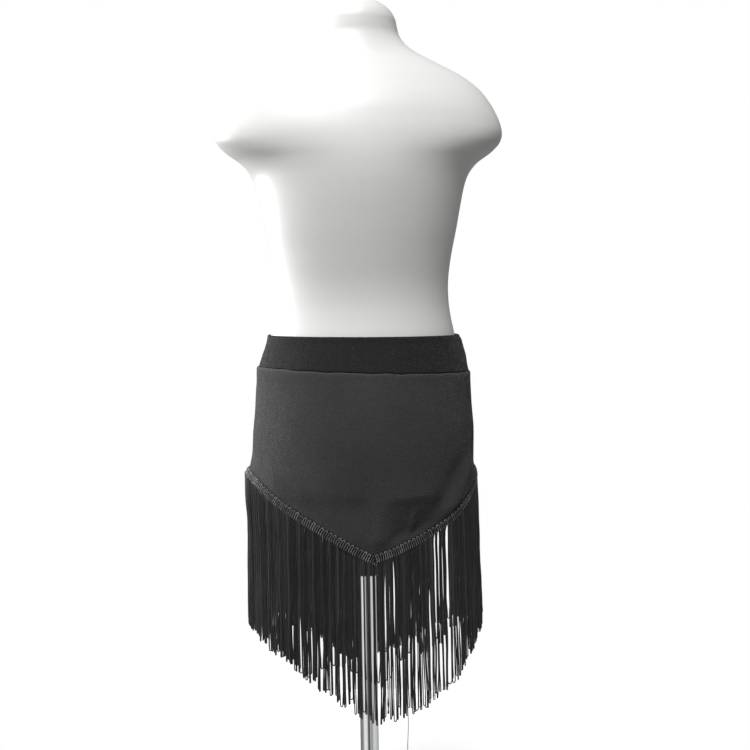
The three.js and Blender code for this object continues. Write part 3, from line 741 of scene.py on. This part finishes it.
def braid(side):
    parts_ribs, parts_tape, parts_thread = [], [], []
    over = {"back": 1, "front": -1}[side]  # the half that lies on top at the point
    for sign in (-1, 1):
        top_limb = sign == over
        data = limb(side, sign, 0.0 if top_limb else 9.5)
        run = data[5][-1]
        first = 2.0 if top_limb else 0.0
        lift = 1.6 if top_limb else 0.0
        near = lambda s: lift * np.exp(-((np.asarray(s) / 16.0) ** 2))
        rng = np.random.default_rng({("back", -1): 11, ("back", 1): 12, ("front", -1): 13, ("front", 1): 14}[(side, sign)])
        # ground tape
        ss = np.linspace(first, run - 0.2, 170)
        ws = np.array([0.5, 2.6, 4.8, 7.4, 9.9, 9.9, 7.4, 4.8, 2.6, 0.5])
        hs = np.array([0.75, 0.95, 1.0, 0.95, 0.85, 0.1, -0.05, -0.05, -0.05, 0.0])
        # its plain black edge shows above the ribs, most of all towards the sides: a dark strip put there for the shade
        # line between braid and cloth, which also casts a little real shadow on the cloth
        shade_line_strip = 0.7 + (1.2 if sign * (1 if side == "back" else -1) > 0 else 0.5) * smooth(np.abs(np.interp(ss, data[5], data[0])), 46, 66)
        rows = np.stack([on_braid(data, ss, w + (shade_line_strip if w > 9 else 0), h, near(ss))[0] for w, h in zip(ws, hs)])
        v, q, uv = loop_shell(rows, ss, np.concatenate([ws[:5], 20 - ws[5:]]))
        cap0 = (np.arange(10) * len(ss))[None, :]
        cap1 = (np.arange(10) * len(ss) + len(ss) - 1)[None, ::-1]
        parts_tape.append(signed((v, [q, cap0, cap1], [uv, np.zeros((1, 10, 2)), np.zeros((1, 10, 2))])))
        # a cord runs up, turns over the upper edge and comes down again: two ribs a turn
        m = int((run - first - 1.0) / (2 * RIB))
        s0 = first + 0.6 + (np.arange(m) + 0.5) * (run - first - 0.8) / m
        half = 0.25 * (run - first - 0.8) / m
        wp = np.array([-0.45, 0.1, 0.9, 2.4, 4.2, 6.0, 7.6, 8.6, 9.3, 9.75, 9.9])
        hp = np.array([0.35, 1.25, 1.75, 1.80, 1.80, 1.78, 1.72, 1.62, 1.42, 1.02, 0.72])
        sp = np.array([1, 1, 1, 1, 1, 1, 1, 1.0, 0.92, 0.6, 0.0])
        rp = np.array([0.66, 1.08, 1.12, 1.0, 0.98, 0.98, 1.0, 1.04, 1.06, 1.0, 0.9])
        wp, hp, sp, rp = (np.concatenate([k, f * k[-2::-1]]) for k, f in ((wp, 1), (hp, 1), (sp, -1), (rp, 1)))
        bow = 0.42 * np.sin(np.pi * np.clip(wp / HEADER_WIDE, 0, 1))
        lean = rng.normal(0, 0.20, m)[:, None] * (wp / HEADER_WIDE - 0.5)[None, :] * 2
        s = np.clip(s0[:, None] - sp[None, :] * half + lean + bow[None, :] + rng.normal(0, 0.10, m)[:, None], first + 0.2, run - 0.2)
        w = wp[None, :] + rng.normal(0, 0.14, m)[:, None]
        h = hp[None, :] + rng.normal(0, 0.10, m)[:, None] + 0.15 * ((wp > 9.0) * 1.0)[None, :]
        P, N = on_braid(data, s, w, h, near(s))
        rad = 0.42 * (1 + rng.normal(0, 0.07, m))[:, None] * rp[None, :]
        v, q, c, uv, cuv = tubes(P, N, rad, 8)
        parts_ribs.append(signed((v, [q, c], [uv, cuv])))
        # a finer twisted cord locks the turns along the upper edge
        k = np.linspace(first + 1.0, run - 0.4, int(run / RIB * 6))
        phase = k / RIB * np.pi
        wq = 8.55 + 0.30 * np.sin(phase) + 0.10 * ripple(15 + sign, k / 30)
        hq = 2.05 + 0.30 * np.cos(phase)
        P, N = on_braid(data, k + 0.25 * np.sin(phase * 2), wq, hq, near(k))
        v, q, c, uv, cuv = tubes(P[None], N[None], 0.30, 6)
        parts_thread.append(signed((v, [q, c], [uv, cuv])))
        # the sewing: short stitches through the ribs below the upper edge
        n = int(run / 3.3)
        a = first + (np.arange(n) + 0.35) * (run - first) / n + rng.normal(0, 0.12, n)
        fr = np.linspace(0, 1, 6)
        s = a[:, None] + 2.3 * fr[None, :]
        s = np.clip(s, first + 0.4, run - 0.3)
        wv = 7.55 + 0.22 * ripple(21 + sign, a / 40)[:, None] + rng.normal(0, 0.10, n)[:, None] * (fr[None, :] - 0.5)
        hv = 2.55 + 0.42 * np.sin(np.pi * fr)[None, :] - 0.5
        P, N = on_braid(data, s, wv + 0 * s, hv + 0 * s + 0.35, near(s))
        v, q, c, uv, cuv = tubes(P, N, 0.19, 5)
        parts_thread.append(signed((v, [q, c], [uv, cuv])))
    pieces = []
    for name, parts, mat in (("ribs", parts_ribs, RIBS_PAINTED_HIGHLIGHT), ("ground", parts_tape, TAPE), ("stitches", parts_thread, THREAD)):
        v, g, u = join(parts)
        pieces.append(make(f"braid_{side}_{name}", v, g, mat, u, 80, flip_check=False))
    return pieces


def signed(part):
    """The same closed part with its faces looking outwards."""
    v, groups, uvs = part
    volume = 0.0
    for g in groups:
        for k in range(1, g.shape[1] - 1):
            volume += float(np.einsum("ij,ij->i", v[g[:, 0]], np.cross(v[g[:, k]], v[g[:, k + 1]])).sum())
    if volume < 0:
        groups, uvs = [g[:, ::-1] for g in groups], [u[:, ::-1] for u in uvs]
    return v, groups, uvs


# ------------------------------------------------------------------ fringe
def strands(side, seed, pitch, inward, shorter, radius, sides, K):
    """One row of looped strands: closed tubes that leave the header side by side, hang plumb,
    gather into small uneven groups on their way down, and each turn back at the lower end."""
    rng = np.random.default_rng(seed)
    deg = np.linspace(-89.55, 89.55, 2400)
    roll = roll_of(side, deg)
    base_out = 0.2 + hem_out(side, deg) - np.sin(roll) * HEADER_WIDE / 2
    p = face(SKIRT, side, deg, hem_top(deg) - HEADER, 1.4 + base_out)
    s = np.concatenate([[0], np.cumsum(np.linalg.norm(np.diff(p, axis=0), axis=1))])
    q = np.concatenate([[0], np.cumsum(np.linalg.norm(np.diff(p[:, :2], axis=0), axis=1))])
    q -= np.interp(0.0, deg, q)
    rate = np.gradient(q, deg)
    loops = int(s[-1] / pitch)
    legs = 2 * loops
    leg_s = (np.arange(legs) + 0.5) * s[-1] / legs
    leg_deg, leg_q = np.interp(leg_s, s, deg), np.interp(leg_s, s, q)
    leg_rate = np.interp(leg_deg, deg, rate)
    leg_top = hem_top(leg_deg) - HEADER + 0.8

    def gather(sizes, weights, spread, jitter):
        place, layer, shift = np.zeros(legs), np.zeros(legs), np.zeros(legs)
        i = 0
        while i < legs:
            n = min(int(rng.choice(sizes, p=weights)), legs - i)
            k = np.arange(n)
            centre = leg_q[i:i + n].mean() + rng.normal(0, jitter)
            place[i:i + n] = centre + (k - (n - 1) / 2) * spread * rng.uniform(0.85, 1.15)
            layer[i:i + n] = (k + rng.integers(0, 3)) % 3 * 1.1
            shift[i:i + n] = rng.normal(0, 0.7)
            i += n
        return place, layer, shift

    A, A_layer, A_shift = gather([1, 2, 3, 4], [0.10, 0.40, 0.35, 0.15], 0.90, 0.25)
    B, B_layer, B_shift = gather([1, 2, 3, 4], [0.15, 0.40, 0.30, 0.15], 0.64, 0.5)

    # loose in the middle of the back, close at the sides, and close all along the front
    if side == "back":
        open_at = np.array([(-90, 0.35), (-62, 0.45), (-45, 0.7), (-25, 0.85), (0, 1.0), (20, 1.0), (40, 1.0), (52, 0.75), (64, 0.5), (90, 0.4)], float)
    else:
        open_at = np.array([(-90, 0.2), (-60, 0.2), (-30, 0.25), (0, 0.35), (25, 0.6), (45, 0.9), (62, 0.8), (76, 0.4), (90, 0.2)], float)
    loose = column(open_at, leg_deg, 1)
    if inward:
        loose = loose * (0.4 + 0.6 * smooth(leg_deg, -34, -12) * smooth(leg_deg, 74, 60))

    cad_reach = column(STRANDS, leg_deg, 1 if side == "back" else 2).reshape(-1, 2).mean(1)
    if inward and side == "back":  # thinner towards the ends, where light comes through
        loop_deg = leg_deg.reshape(-1, 2).mean(1)
        shorter = shorter + 42 * smooth(loop_deg, -32, -18) + 24 * smooth(loop_deg, 5, 14) * smooth(loop_deg, 60, 48)
    loop_reach = cad_reach - shorter + rng.normal(0, 3.4, loops) + 3.0 * ripple(seed % 7 + 5, np.arange(loops) * pitch / 27.0)
    loop_reach += np.where(rng.random(loops) < 0.06, rng.uniform(-12, -3, loops), 0)
    loop_reach = np.minimum(loop_reach, cad_reach + 5)
    end_sep = rng.choice([1.7, 2.2, 3.0, 4.2, 5.8], loops, p=[0.30, 0.25, 0.2, 0.15, 0.1])
    share = np.linspace(0, 1, K) ** 1.06
    leg_reach = np.repeat(loop_reach, 2)
    t = -3.5 + (leg_reach + 3.5 - 3.0)[:, None] * share[None, :]
    tt = np.maximum(t, 0)

    # the strands stay side by side for longer on the left of the back, and along the front
    late = (46 * smooth(leg_deg, -8, -30) if side == "back" else 72 - 57 * smooth(leg_deg, 15, 40) * smooth(leg_deg, 80, 64))[:, None]
    a = smooth(tt - late, 45, 150) * 0.80 * loose[:, None]
    b = smooth(tt - late, 110, 195) * 0.85 * loose[:, None]
    x = leg_q[:, None] * (1 - a) * (1 - b) + A[:, None] * a * (1 - b) + B[:, None] * b
    x = x + 0.9 * ripple(seed + 1, leg_q[:, None] / 46.0, tt / 190.0) * smooth(tt, 10, 120)
    own = rng.uniform(0, 100, legs)[:, None]
    x = x + 0.26 * ripple(seed + 2, own, tt / 90.0) * smooth(tt - late, 30, 120) * (0.4 + loose[:, None])
    # a few strands wander across their neighbours
    stray = np.where(rng.random(loops) < 0.07, rng.normal(0, 2.6, loops), 0.0)
    x = x + np.repeat(stray, 2)[:, None] * smooth(tt - late, 60, 175)
    for where, d0, half, t0, t1 in GAPS:
        if where == side:
            at = face(SKIRT, side, d0, hem_top(d0) - HEADER, 1.4)[0]
            away = leg_q[:, None] - np.interp(at, p[:, 0], q)
            way = np.where(away >= 0, 1.0, -1.0)
            apart = np.maximum(way * (x - leg_q[:, None] + away), 0)
            apart = apart + (half + 0.3) * np.exp(-apart / max(5.5, 2.2 * half))
            x = x + (leg_q[:, None] - away + way * apart - x) * smooth(tt, t0 - 4, t1)
    # place in the thickness of the fringe, from under the braid
    lo, hi = smooth(tt, 80, 170), smooth(tt, 2, 40)
    flat = 1 - 0.75 * smooth(np.abs(leg_deg), 22, 48)  # at the sides they lie closer side by side
    r = 1.25 + (0.35 + (A_layer + A_shift * 0.5) * flat)[:, None] * hi * (1 - lo) + (0.55 + (B_layer + B_shift * 0.9) * (0.4 + 0.6 * flat))[:, None] * lo
    r = r + 0.5 * ripple(seed + 3, own, tt / 110.0) * smooth(tt, 5, 60)
    r = r + 0.6 * ripple(seed + 4, leg_q[:, None] / 30.0, tt / 200.0) * smooth(tt, 20, 150)
    # where the braid tips out, the strands start further out and fall back
    spill = np.interp(leg_deg, deg, -np.minimum(roll, 0)) * np.where(leg_deg < 0, 6.3, 3.2)
    r = np.clip(r - inward * smooth(tt, 1, 12), -1.6, 6.0) - spill[:, None] * smooth(tt, 6, 62)

    # each pair of legs is one loop, and closes below
    pair = x.reshape(loops, 2, K)
    mid, sep = pair.mean(1), pair[:, 1] - pair[:, 0]
    down = t.reshape(loops, 2, K)[:, 0]
    close = smooth((loop_reach - 3.0)[:, None] - down, 34, 0)
    want = np.sign(sep + 1e-9) * np.minimum(np.maximum(np.abs(sep), 1.5), end_sep[:, None])
    sep = sep * (1 - close) + want * close
    pair = np.stack([mid - sep / 2, mid + sep / 2], 1)
    r2 = r.reshape(loops, 2, K)
    phi = np.linspace(0, np.pi, 7)[1:-1]
    e = sep[:, -1:]
    turn_x = mid[:, -1:] - e / 2 * np.cos(phi)[None, :]
    turn_r = r2[:, 0, -1:] * (1 + np.cos(phi)) / 2 + r2[:, 1, -1:] * (1 - np.cos(phi)) / 2
    turn_t = down[:, -1:] + (np.abs(e) / 2 * 1.15 + 0.7) * np.sin(phi)[None, :]
    X = np.concatenate([pair[:, 0], turn_x, pair[:, 1, ::-1]], 1)
    R = np.concatenate([r2[:, 0], turn_r, r2[:, 1, ::-1]], 1)
    T = np.concatenate([down, turn_t, down[:, ::-1]], 1)
    base_q, base_deg, base_rate = (f.reshape(loops, 2).mean(1)[:, None] for f in (leg_q, leg_deg, leg_rate))
    two = leg_top.reshape(loops, 2)
    z_top = np.concatenate([np.repeat(two[:, :1], K, 1), np.repeat(two.mean(1)[:, None], 5, 1), np.repeat(two[:, 1:], K, 1)], 1)
    D = base_deg + (X - base_q) / base_rate
    section = np.clip(z_top, 474, 600)
    P = face(SKIRT, side, D, section, R + np.interp(D, deg, base_out))
    sine = np.sin(np.radians(D))
    P[..., 0] += np.maximum(T, 0) / 200 * sine * np.abs(sine) * np.where(sine < 0, 1.0, 5.0)
    P[..., 2] = z_top - T
    N = outward(SKIRT, side, D, section)
    # the twist opens a little towards the free end
    width = (radius * (1 + 0.06 * ripple(seed + 6, np.arange(loops) * 0.37)))[:, None] * (1 + 0.13 * smooth(np.maximum(T, 0), 90, 170))
    v, quads, caps, uv, cuv = tubes(P, N, width, sides)
    return signed((v, [quads, caps], [uv, cuv]))


def fringe(side, seed):
    parts = [
        strands(side, seed, RIB, 0.0, 0.0, 0.63 if side == "back" else 0.68, 7, 21),
        strands(side, seed + 10, RIB * 1.4, 1.5, 5.0, 0.70, 6, 20),
    ]
    if side == "back":
        # one drawn thread hangs from a loop's end, right of the point
        k = np.linspace(0, 1, 26)
        z = 309 - 76 * k
        path = face(SKIRT, side, 15.4 + 0.35 * np.sin(k * 4.2) + 0.5 * k, 490.0, 2.6 + 1.2 * np.sin(k * 3.0), z)
        v, quads, caps, uv, cuv = tubes(path[None], outward(SKIRT, side, np.full(26, 15.4), 490.0)[None], 0.42, 6)
        parts.append(signed((v, [quads, caps], [uv, cuv])))
    v, g, u = join(parts)
    return make(f"fringe_{side}_strands", v, g, RAYON, u, 80, flip_check=False)


# ------------------------------------------------------------------ dress form and stand
def ring_loft(rows, around, shrink=None):
    """rows: z, half width, back, front, y. A closed body with its ends closed on the axis."""
    ang = 2 * np.pi * np.arange(around) / around
    c, s = np.cos(ang), np.sin(ang)
    z, a, back, front, y = (rows[:, k, None] for k in range(5))
    verts = np.stack([a * c, y + np.where(s < 0, back, front) * s, z + 0 * c], -1).reshape(-1, 3)
    n = len(rows)
    j, k = np.meshgrid(np.arange(n - 1), np.arange(around), indexing="ij")
    k2 = (k + 1) % around
    quads = np.stack([j * around + k, j * around + k2, (j + 1) * around + k2, (j + 1) * around + k], -1).reshape(-1, 4)
    verts = np.concatenate([verts, [[0, rows[0, 4], rows[0, 0]], [0, rows[-1, 4], rows[-1, 0] + 0.5]]])
    k = np.arange(around)
    tris = np.concatenate([
        np.stack([np.full(around, n * around), (k + 1) % around, k], -1),
        np.stack([np.full(around, n * around + 1), (n - 1) * around + k, (n - 1) * around + (k + 1) % around], -1),
    ])
    return verts, [quads, tris]


def torso():
    z = np.unique(np.concatenate([
        np.linspace(556, 575, 14), np.linspace(575, 950, 90), np.linspace(950, 1140, 80), np.linspace(1140, 1193.2, 40),
    ]))
    rows = np.stack([z] + [column(FORM, z, k) for k in range(1, 5)], -1)
    # under the skirt the shell keeps a little clear of the cloth
    inside = smooth(z, 553, 566) * smooth(z, 764, 744)
    rows[:, 1:4] -= (1.0 * inside)[:, None]
    # the lower edge turns in to a flat rim
    rim = np.array([
        (556.0, 120.0, 90.0, 79.0, 0), (556.0, 128.0, 97.5, 86.5, 0), (556.4, 130.6, 99.8, 88.8, 0),
    ], float)
    rows = np.concatenate([rim, rows[1:]])
    v, g = ring_loft(rows, 176)
    return make("form_shell", v, g, WHITE, None, 50)


def board():
    low, a, back, front = 545.7, 130.0, 99.0, 88.0
    rows = []
    for inset, z in ((9, 0), (2.2, 0), (1.1, 0.25), (0.35, 0.9), (0, 2.0), (0, 5.0), (0, 8.0), (0.35, 9.1), (1.1, 9.75), (2.2, 10.0), (9, 10.0)):
        rows.append((low + z, a - inset, back - inset, front - inset, 0))
    rows = np.array(rows, float)
    v, g = ring_loft(rows, 128)
    v[-1, 2] = rows[-1, 0]
    return make("form_board", v, g, BLACK, None, 50)


def stand():
    high = 545.4
    made = []
    v, g = lathe(softened([
        (13.0, 434.6), (13.6, 434.0), (23.4, 434.0), (25.0, 436.0), (25.0, 470.0), (24.2, 471.0), (24.2, 473.0), (25.0, 474.0),
        (25.0, 538.0), (27.0, 541.0), (37.2, 541.6), (38.0, 542.6), (38.0, high - 0.6), (37.4, high), (13.0, high), (13.0, 434.6),
    ], 0.5, 2)[:-1], 96)
    made.append(make("socket_tube", v, g, BLACK_METAL, None, 40))
    v, g = lathe(softened([(0, 10.3), (12.0, 10.3), (12.5, 10.8), (12.5, 300.0), (12.5, high - 5.0), (12.0, high - 4.4), (0, high - 4.4)], 0.3, 2), 128)
    made.append(make("pole_tube", v, g, CHROME, None, 40))
    v, g = lathe(softened([
        (0, 0), (148.5, 0), (150.0, 1.5), (150.0, 5.2), (148.6, 6.8), (145.5, 7.6), (141.0, 8.0), (24.0, 8.0), (20.5, 8.6), (18.9, 10.2),
        (18.0, 22.0), (16.6, 24.0), (13.3, 24.0), (12.9, 23.6), (12.9, 10.0), (0, 10.0),
    ], 0.7, 3), 192)
    made.append(make("foot_disc", v, g, CHROME_FOOT, None, 40))
    return made


skirt_back, skirt_front = panel("back"), panel("front")
band_back, band_front = band("back"), band("front")
braid_back, braid_front = braid("back"), braid("front")
fringe_back, fringe_front = fringe("back", 101), fringe("front", 202)
fringe_back.visible_glossy = fringe_front.visible_glossy = False
shell, plate = torso(), board()
socket, pole, foot = stand()

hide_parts("skirt_back")
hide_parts("skirt_front")
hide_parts("waistband_back")
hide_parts("waistband_front")
for piece in braid_back:
    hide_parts("trim_header_back")
for piece in braid_front:
    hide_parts("trim_header_front")
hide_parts("fringe_back")
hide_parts("fringe_front")
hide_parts("form_torso")
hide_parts("form_base_plate")
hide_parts("pole_socket")
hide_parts("pole")
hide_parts("stand_foot")

# ------------------------------------------------------------------ room, light, camera
scene = bpy.context.scene
scene.view_settings.view_transform = "Standard"

ang = 2 * np.pi * np.arange(96) / 96
floor_mesh = bpy.data.meshes.new("floor")
floor_mesh.from_pydata([(0.7 * math.cos(f), 0.7 * math.sin(f), 0) for f in ang], [], [tuple(range(96))])
floor = bpy.data.objects.new("floor", floor_mesh)
floor.location.z = -0.0004
floor.visible_glossy = False
scene.collection.objects.link(floor)
pale = Shader("pale_floor", Roughness=0.9, Specular_IOR_Level=0.1, Emission_Color=(1, 1, 1, 1))
reach = pale.node("ShaderNodeVectorMath", {0: pale.coords("Object")}, operation="LENGTH").outputs["Value"]
pale.link(pale.range(reach, 0.25, 0.68, 0.18, 0.45), "Emission Strength")
pale.link(pale.ramp(pale.noise(pale.coords("Object"), 1.5, 3), [(0.2, (0.40, 0.40, 0.40)), (0.8, (0.42, 0.42, 0.42))]), "Base Color")
floor_mesh.materials.append(pale.mat)

# A white studio: bright from the left, darker behind the object and at the camera itself.
world = bpy.data.worlds.new("studio")
scene.world = world
world.use_nodes = True
tree = world.node_tree
back = tree.nodes["Background"]
back.inputs["Color"].default_value = (1, 1, 1, 1)


def wnode(kind, links=None, **props):
    n = tree.nodes.new(kind)
    for key, value in props.items():
        setattr(n, key, value)
    for key, value in (links or {}).items():
        if hasattr(value, "links"):
            tree.links.new(value, n.inputs[key])
        else:
            n.inputs[key].default_value = value
    return n


way = wnode("ShaderNodeSeparateXYZ", {0: wnode("ShaderNodeTexCoord").outputs["Generated"]})
west = wnode("ShaderNodeMath", {0: way.outputs["X"], 1: -1.0}, operation="MULTIPLY").outputs[0]
south = wnode("ShaderNodeMath", {0: way.outputs["Y"], 1: -1.0}, operation="MULTIPLY").outputs[0]
turned = wnode("ShaderNodeMath", {0: west, 1: south}, operation="ARCTAN2").outputs[0]
around = wnode("ShaderNodeMath", {0: turned, 1: 1 / (2 * math.pi), 2: 0.5}, operation="MULTIPLY_ADD").outputs[0]


def ring_of_light(stops):
    n = wnode("ShaderNodeValToRGB", {0: around})
    while len(n.color_ramp.elements) < len(stops):
        n.color_ramp.elements.new(0.5)
    for element, (at, grey) in zip(n.color_ramp.elements, stops):
        element.position, element.color = at, (grey, grey, grey, 1)
    return n.outputs["Color"]


soft = ring_of_light([
    (0.0, 0.12), (0.10, 0.12), (0.17, 0.12), (0.25, 0.14), (0.35, 0.29), (0.455, 0.46),
    (0.545, 0.49), (0.64, 0.59), (0.75, 0.90), (0.84, 1.15), (0.90, 0.40), (1.0, 0.14),
])
# what polished metal and silky cord mirror has dark panels between the windows
panels = ring_of_light([
    (0.0, 0.34), (0.10, 0.36), (0.22, 0.60), (0.315, 0.74), (0.374, 0.72), (0.40, 0.42), (0.446, 0.35), (0.47, 0.50),
    (0.481, 0.56), (0.50, 0.22), (0.515, 0.08), (0.5485, 0.08), (0.565, 0.25), (0.583, 0.70), (0.618, 0.88), (0.692, 0.98),
    (0.725, 0.62), (0.756, 0.33), (0.836, 0.22), (0.93, 0.26),
])
path = wnode("ShaderNodeLightPath")
tall = wnode("ShaderNodeMapRange", {"Value": way.outputs["Z"], "From Min": -0.5, "From Max": 0.6, "To Min": 0.10, "To Max": 1.5}).outputs["Result"]
shaded = wnode("ShaderNodeMath", {0: soft, 1: tall}, operation="MULTIPLY").outputs[0]
lit = wnode("ShaderNodeMapRange", {"Value": path.outputs["Is Glossy Ray"], "To Min": shaded, "To Max": panels}).outputs["Result"]
level = wnode("ShaderNodeMapRange", {"Value": path.outputs["Is Camera Ray"], "To Min": lit, "To Max": 1.0})
tree.links.new(level.outputs["Result"], back.inputs["Strength"])


def area_light(name, at, aim, size, power):
    data = bpy.data.lights.new(name, "AREA")
    data.shape, data.size, data.size_y, data.energy = "RECTANGLE", size[0], size[1], power
    light = bpy.data.objects.new(name, data)
    light.location = at
    light.rotation_euler = (Vector(aim) - Vector(at)).to_track_quat("-Z", "Y").to_euler()
    light.visible_camera = False
    scene.collection.objects.link(light)
    return light


area_light("key_left", (-2.0, 0.85, 1.20), (0, 0, 0.60), (1.0, 1.4), 100)
area_light("top_soft", (-0.66, -1.75, 3.6), (0, 0, 0.55), (1.7, 1.4), 176)
front = area_light("front_soft", (0.2, 2.4, 1.7), (0, 0, 0.6), (1.8, 1.6), 34)
front.visible_glossy = False

AZ, PITCH, ROLL = math.radians(-6.5), math.radians(4.6), math.radians(0.9)
right, up0 = Vector((math.cos(AZ), math.sin(AZ), 0)), Vector((0, 0, 1))
ahead = Vector((-math.sin(AZ), math.cos(AZ), 0))
forward = ahead * math.cos(PITCH) - up0 * math.sin(PITCH)
up = up0 * math.cos(PITCH) + ahead * math.sin(PITCH)
cam_right = right * math.cos(ROLL) - up * math.sin(ROLL)
cam_up = up * math.cos(ROLL) + right * math.sin(ROLL)
camera_data = bpy.data.cameras.new("camera")
camera_data.sensor_width, camera_data.sensor_fit = 36.0, "HORIZONTAL"
camera_data.lens = 36.0 * 1053 / 750
camera_data.clip_start, camera_data.clip_end = 0.05, 100
camera = bpy.data.objects.new("camera", camera_data)
place = Vector((math.sin(AZ) * 1.4, -math.cos(AZ) * 1.4, 0.814)) + right * 0.015223
turn = Matrix((cam_right, cam_up, -forward)).transposed()
camera.matrix_world = Matrix.Translation(place) @ turn.to_4x4()
scene.collection.objects.link(camera)
scene.camera = camera
